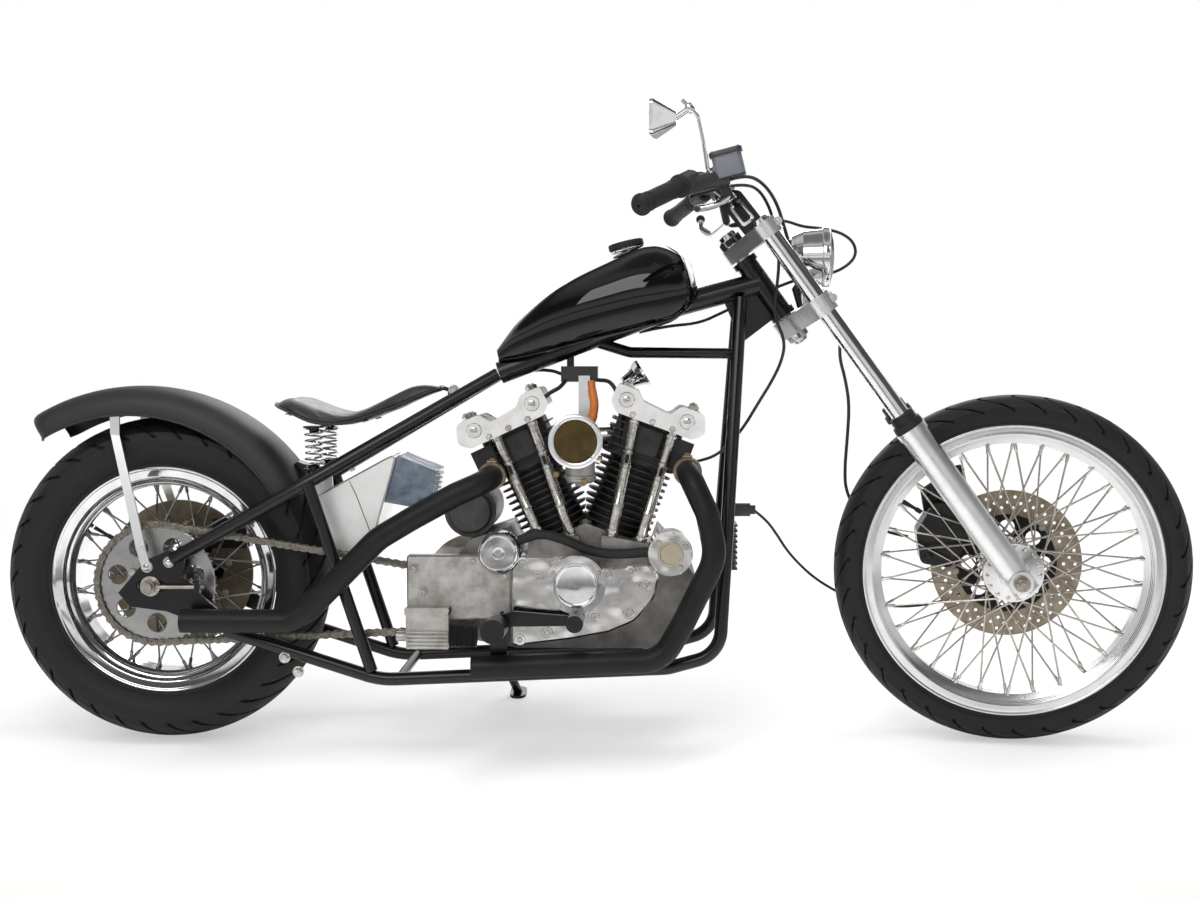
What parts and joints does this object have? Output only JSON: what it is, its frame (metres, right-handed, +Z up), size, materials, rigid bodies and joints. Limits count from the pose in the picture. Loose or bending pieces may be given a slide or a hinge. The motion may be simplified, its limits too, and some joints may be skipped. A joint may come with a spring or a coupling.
{
  "type": "hardtail chopper motorcycle",
  "caption": "Long-forked hardtail motorcycle with an air-cooled V-twin, wire wheels, peanut tank and sprung solo seat, parked on its side stand.",
  "frame": {"origin": "on the ground under the middle of the parked machine's box", "axes": "+X forward along the machine, +Y to the rider's left, +Z up from the ground"},
  "size_m": [2.2983, 0.7713, 1.225],
  "materials": {
    "black_plastic": "matt",
    "cable_black": "matt",
    "cast_aluminium": "cast",
    "chrome": "polished",
    "exhaust_black": "matt heat-resistant paint",
    "fin_black": "matt paint",
    "fork_aluminium": "satin",
    "gloss_black": "gloss paint",
    "leather": "grained",
    "polished_aluminium": "polished",
    "rubber": "matt",
    "satin_black": "satin powder coat",
    "steel": "brushed",
    "tyre": "matt"
  },
  "bodies": {
    "frame": {"bar_cables": "cable_black", "battery_box": "black_plastic", "carburettor": "cast_aluminium", "coil_box": "black_plastic", "crankcase": "cast_aluminium", "cylinders": "fin_black", "drive_chain": "steel", "engine_hose": "rubber", "exhaust_pipes": "exhaust_black", "fender_struts": "fork_aluminium", "foot_controls": "satin_black", "frame_backbone": "satin_black", "frame_cradles": "satin_black", "frame_crossmembers": "satin_black", "frame_stays": "satin_black", "fuel_cap": "rubber", "fuel_tank": "gloss_black", "gearcase_cover": "polished_aluminium", "horn": "chrome", "oil_filter": "chrome", "oil_tank": "chrome", "primary_cover": "polished_aluminium", "pushrod_tubes": "chrome", "rear_axle": "steel", "rear_caliper": "satin_black", "rear_fender": "satin_black", "rear_master_cylinder": "cast_aluminium", "rocker_boxes": "polished_aluminium", "seat": "leather", "seat_springs": "chrome", "sprocket_cover": "cast_aluminium", "starter_motor": "cast_aluminium", "voltage_regulator": "black_plastic", "wheel_cable": "cable_black"},
    "rear_wheel": {"rear_tyre": "tyre", "rear_rim": "chrome", "rear_spokes": "chrome", "rear_hub": "chrome", "rear_disc": "steel", "rear_sprocket": "steel"},
    "steering": {"fork_trees": "fork_aluminium", "fork_tubes": "chrome", "fork_sliders": "fork_aluminium", "fork_seals": "rubber", "front_axle": "steel", "handlebar": "satin_black", "grips": "rubber", "hand_controls": "black_plastic", "headlight": "chrome", "mirror": "chrome", "front_caliper": "satin_black", "front_brake_line": "cable_black"},
    "front_wheel": {"front_tyre": "tyre", "front_rim": "chrome", "front_spokes": "chrome", "front_hub": "chrome", "front_disc": "steel"},
    "side_stand": {"side_stand": "satin_black"}
  },
  "joints": [
    {"name": "rear_wheel_spin", "type": "hinge", "parent": "frame", "child": "rear_wheel", "pos_m": [-0.83323, -0.10759, 0.31461], "axis": [0, 0.9903, -0.1392], "continuous": true},
    {"name": "steering_turn", "type": "hinge", "parent": "frame", "child": "steering", "pos_m": [0.29137, -0.02128, 0.92875], "axis": [-0.5878, 0.1126, 0.8011], "range_deg": [-25.6, 38.4], "deforming": ["bar_cables", "wheel_cable"]},
    {"name": "front_wheel_spin", "type": "hinge", "parent": "steering", "child": "front_wheel", "pos_m": [0.81141, -0.11216, 0.33822], "axis": [0.0902, 0.9932, -0.0734], "continuous": true},
    {"name": "side_stand_swing", "type": "hinge", "parent": "frame", "child": "side_stand", "pos_m": [-0.19323, 0.01478, 0.10756], "axis": [0, 0.848, 0.5299], "range_deg": [0, 102]}
  ]
}
